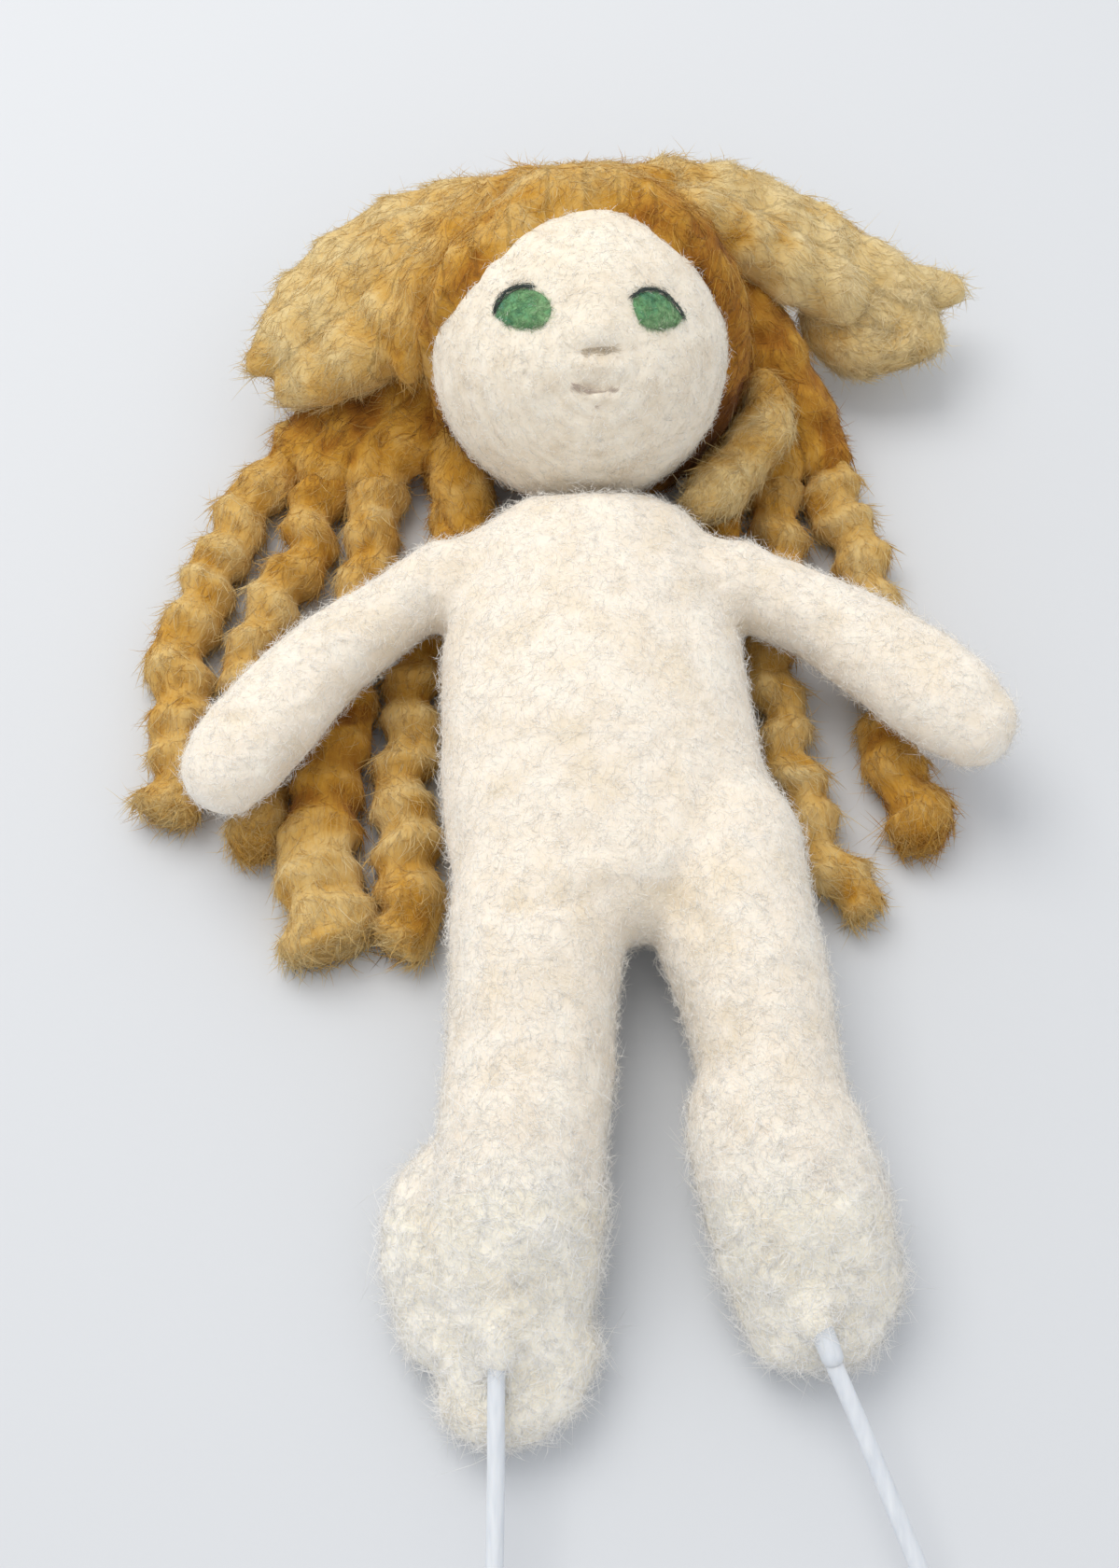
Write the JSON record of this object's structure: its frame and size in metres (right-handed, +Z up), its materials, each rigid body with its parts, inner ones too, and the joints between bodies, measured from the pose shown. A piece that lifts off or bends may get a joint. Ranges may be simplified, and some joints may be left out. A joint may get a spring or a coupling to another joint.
{
  "type": "felt doll",
  "caption": "Needle-felted wool doll lying on its back, with curly wool hair, jointed by a wire armature whose bare ends stick out of unfinished feet.",
  "frame": {"origin": "on the flat of the torso's back, where the doll lies", "axes": "+Y towards the head, +Z up out of the chest, +X towards the doll's left hand"},
  "size_m": [0.1146, 0.1948, 0.0442],
  "materials": {
    "felted_wool": "firm needle-felted off-white wool with fine loose fibres",
    "loose_wool": "loose carded off-white wool",
    "golden_wool": "crimped golden brown wool locks",
    "green_wool": "flat felted green wool",
    "dark_wool": "a few dark fibres needled in",
    "pink_wool": "pale pink wool needled in",
    "milky_wire": "smooth milky shape-keeping plastic wire"
  },
  "bodies": {
    "torso": {"torso": "felted_wool", "right_torso_wire": "milky_wire", "left_torso_wire": "milky_wire", "shoulder_wire": "milky_wire", "right_lock_1_lower": "golden_wool", "right_lock_2_lower": "golden_wool", "right_lock_3_lower": "golden_wool", "right_lock_4_lower": "golden_wool", "left_lock_1_lower": "golden_wool", "left_lock_2_lower": "golden_wool"},
    "head": {"head": "felted_wool", "nose": "felted_wool", "right_eye": "green_wool", "left_eye": "green_wool", "right_lash": "dark_wool", "left_lash": "dark_wool", "mouth": "pink_wool", "head_wire_loop": "milky_wire", "hair_cap": "golden_wool", "right_tuft": "golden_wool", "left_tuft": "golden_wool", "left_tuft_curl": "golden_wool", "right_back_hair": "golden_wool", "left_back_hair": "golden_wool", "left_cheek_lock": "golden_wool", "right_lock_1_upper": "golden_wool", "right_lock_2_upper": "golden_wool", "right_lock_3_upper": "golden_wool", "right_lock_4_upper": "golden_wool", "left_lock_1_upper": "golden_wool", "left_lock_2_upper": "golden_wool"},
    "right_upper_arm": {"right_upper_arm": "felted_wool", "right_upper_arm_wire": "milky_wire"},
    "right_forearm": {"right_forearm": "felted_wool", "right_forearm_wire": "milky_wire"},
    "left_upper_arm": {"left_upper_arm": "felted_wool", "left_upper_arm_wire": "milky_wire"},
    "left_forearm": {"left_forearm": "felted_wool", "left_forearm_wire": "milky_wire"},
    "right_thigh": {"right_thigh": "felted_wool", "right_thigh_wire": "milky_wire"},
    "right_shin": {"right_shin": "felted_wool", "right_foot_batt": "loose_wool", "right_shin_wire": "milky_wire"},
    "left_thigh": {"left_thigh": "felted_wool", "left_thigh_wire": "milky_wire"},
    "left_shin": {"left_shin": "felted_wool", "left_foot_batt": "loose_wool", "left_shin_wire": "milky_wire"}
  },
  "joints": [
    {"name": "neck_nod", "type": "hinge", "parent": "torso", "child": "head", "pos_m": [-0.0012, 0.0377, 0.02], "axis": [1, 0, 0], "range_deg": [0, 25]},
    {"name": "right_shoulder_swing", "type": "hinge", "parent": "torso", "child": "right_upper_arm", "pos_m": [-0.0186, 0.0262, 0.0145], "axis": [-1, 0, 0], "range_deg": [0, 100]},
    {"name": "left_shoulder_swing", "type": "hinge", "parent": "torso", "child": "left_upper_arm", "pos_m": [0.0186, 0.0262, 0.0145], "axis": [-1, 0, 0], "range_deg": [0, 100]},
    {"name": "right_elbow_bend", "type": "hinge", "parent": "right_upper_arm", "child": "right_forearm", "pos_m": [-0.03121, 0.01737, 0.0145], "axis": [-0.7771, 0.6293, 0], "range_deg": [0, 75]},
    {"name": "left_elbow_bend", "type": "hinge", "parent": "left_upper_arm", "child": "left_forearm", "pos_m": [0.03232, 0.01921, 0.0145], "axis": [-0.6561, -0.7547, 0], "range_deg": [0, 75]},
    {"name": "right_hip_swing", "type": "hinge", "parent": "torso", "child": "right_thigh", "pos_m": [-0.0062, -0.015, 0.011], "axis": [-1, 0, 0], "range_deg": [0, 80]},
    {"name": "left_hip_swing", "type": "hinge", "parent": "torso", "child": "left_thigh", "pos_m": [0.0162, -0.015, 0.011], "axis": [-1, 0, 0], "range_deg": [0, 80]},
    {"name": "right_knee_bend", "type": "hinge", "parent": "right_thigh", "child": "right_shin", "pos_m": [-0.00791, -0.04295, 0.00965], "axis": [0.9981, -0.0611, 0], "range_deg": [0, 80]},
    {"name": "left_knee_bend", "type": "hinge", "parent": "left_thigh", "child": "left_shin", "pos_m": [0.02082, -0.04262, 0.00965], "axis": [0.9863, 0.165, 0], "range_deg": [0, 80]}
  ]
}
